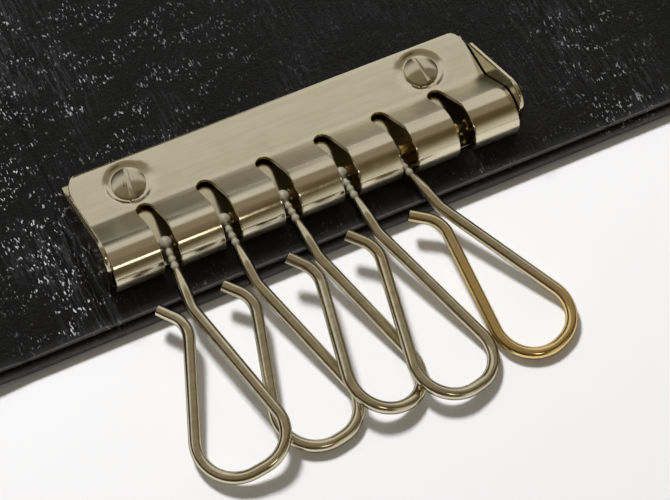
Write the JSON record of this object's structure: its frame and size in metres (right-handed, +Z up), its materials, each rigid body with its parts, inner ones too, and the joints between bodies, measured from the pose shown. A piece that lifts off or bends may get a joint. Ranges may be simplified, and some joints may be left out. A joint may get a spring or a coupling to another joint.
{
  "type": "key case",
  "caption": "Tri-fold leather key case lying open, with wire key hooks that swing on an axle under a slotted metal cover, and a snap to close it.",
  "frame": {"origin": "middle of the centre panel's underside, on the surface the open case lies on", "axes": "+X along the key row, across the folds; +Y from the edge the hooks hang over towards the rear edge; +Z up, out of the lining"},
  "size_m": [0.2118, 0.127, 0.0105],
  "materials": {
    "outer_leather": "fine-grained black leather, semi-matt",
    "lining_leather": "smooth black lining leather",
    "board": "plain stiffening board",
    "cover_nickel": "warm polished nickel with faint drawing streaks",
    "base_nickel": "polished nickel",
    "screw_nickel": "polished nickel",
    "post_nickel": "turned and plated",
    "axle_steel": "dark drawn steel",
    "sleeve_brass": "drawn brass tube",
    "hook_nickel": "warm nickel-plated wire",
    "hook_worn": "nickel plating worn through to brass",
    "head_nickel": "nickel-plated, dull between the beads",
    "snap_nickel": "polished nickel",
    "spring_steel": "spring wire"
  },
  "bodies": {
    "case_back": {"outer_leather_back": "outer_leather", "lining_back": "lining_leather", "stiffener_back": "board", "base_plate": "base_nickel", "cover_plate": "cover_nickel", "mounting_screws": "screw_nickel", "screw_posts": "post_nickel", "axle": "axle_steel", "spacer_sleeves": "sleeve_brass"},
    "left_spine": {"left_spine_leather": "outer_leather", "left_spine_lining": "lining_leather"},
    "left_flap": {"left_flap_leather": "outer_leather", "left_flap_stiffener": "board", "left_flap_lining": "lining_leather", "snap_stud": "snap_nickel", "snap_stud_rivet": "snap_nickel"},
    "right_spine": {"right_spine_leather": "outer_leather", "right_spine_lining": "lining_leather"},
    "right_flap": {"right_flap_leather": "outer_leather", "right_flap_stiffener": "board", "right_flap_lining": "lining_leather", "snap_socket": "snap_nickel", "snap_spring": "spring_steel", "snap_cap": "snap_nickel"},
    "hook_1": {"hook_head_1": "head_nickel", "hook_wire_1": "hook_nickel"},
    "hook_2": {"hook_head_2": "head_nickel", "hook_wire_2": "hook_nickel"},
    "hook_3": {"hook_head_3": "head_nickel", "hook_wire_3": "hook_nickel"},
    "hook_4": {"hook_head_4": "head_nickel", "hook_wire_4": "hook_nickel"},
    "hook_5": {"hook_head_5": "head_nickel", "hook_wire_5": "hook_worn"}
  },
  "joints": [
    {"name": "left_spine_fold", "type": "hinge", "parent": "case_back", "child": "left_spine", "pos_m": [-0.0365, 0, 0.0026], "axis": [0, 1, 0], "range_deg": [0, 90]},
    {"name": "left_flap_fold", "type": "hinge", "parent": "left_spine", "child": "left_flap", "pos_m": [-0.0489, 0, 0.0026], "axis": [0, 1, 0], "range_deg": [0, 85.6]},
    {"name": "right_spine_fold", "type": "hinge", "parent": "case_back", "child": "right_spine", "pos_m": [0.0365, 0, 0.0026], "axis": [0, -1, 0], "range_deg": [0, 90]},
    {"name": "right_flap_fold", "type": "hinge", "parent": "right_spine", "child": "right_flap", "pos_m": [0.0529, 0, 0.0026], "axis": [0, -1, 0], "range_deg": [0, 88.6]},
    {"name": "hook_1_swing", "type": "hinge", "parent": "case_back", "child": "hook_1", "pos_m": [-0.0266, -0.0418, 0.0049], "axis": [-1, 0, 0], "range_deg": [0, 173]},
    {"name": "hook_2_swing", "type": "hinge", "parent": "case_back", "child": "hook_2", "pos_m": [-0.0182, -0.0418, 0.0049], "axis": [-1, 0, 0], "range_deg": [0, 173]},
    {"name": "hook_3_swing", "type": "hinge", "parent": "case_back", "child": "hook_3", "pos_m": [-0.0096, -0.0418, 0.0049], "axis": [-1, 0, 0], "range_deg": [0, 173]},
    {"name": "hook_4_swing", "type": "hinge", "parent": "case_back", "child": "hook_4", "pos_m": [-0.001, -0.0418, 0.0049], "axis": [-1, 0, 0], "range_deg": [0, 173]},
    {"name": "hook_5_swing", "type": "hinge", "parent": "case_back", "child": "hook_5", "pos_m": [0.0068, -0.0418, 0.0049], "axis": [-1, 0, 0], "range_deg": [0, 173]}
  ],
  "couplings": [
    {"joint": "left_flap_fold", "follows": "left_spine_fold", "ratio": 0.951},
    {"joint": "right_flap_fold", "follows": "right_spine_fold", "ratio": 0.984}
  ]
}
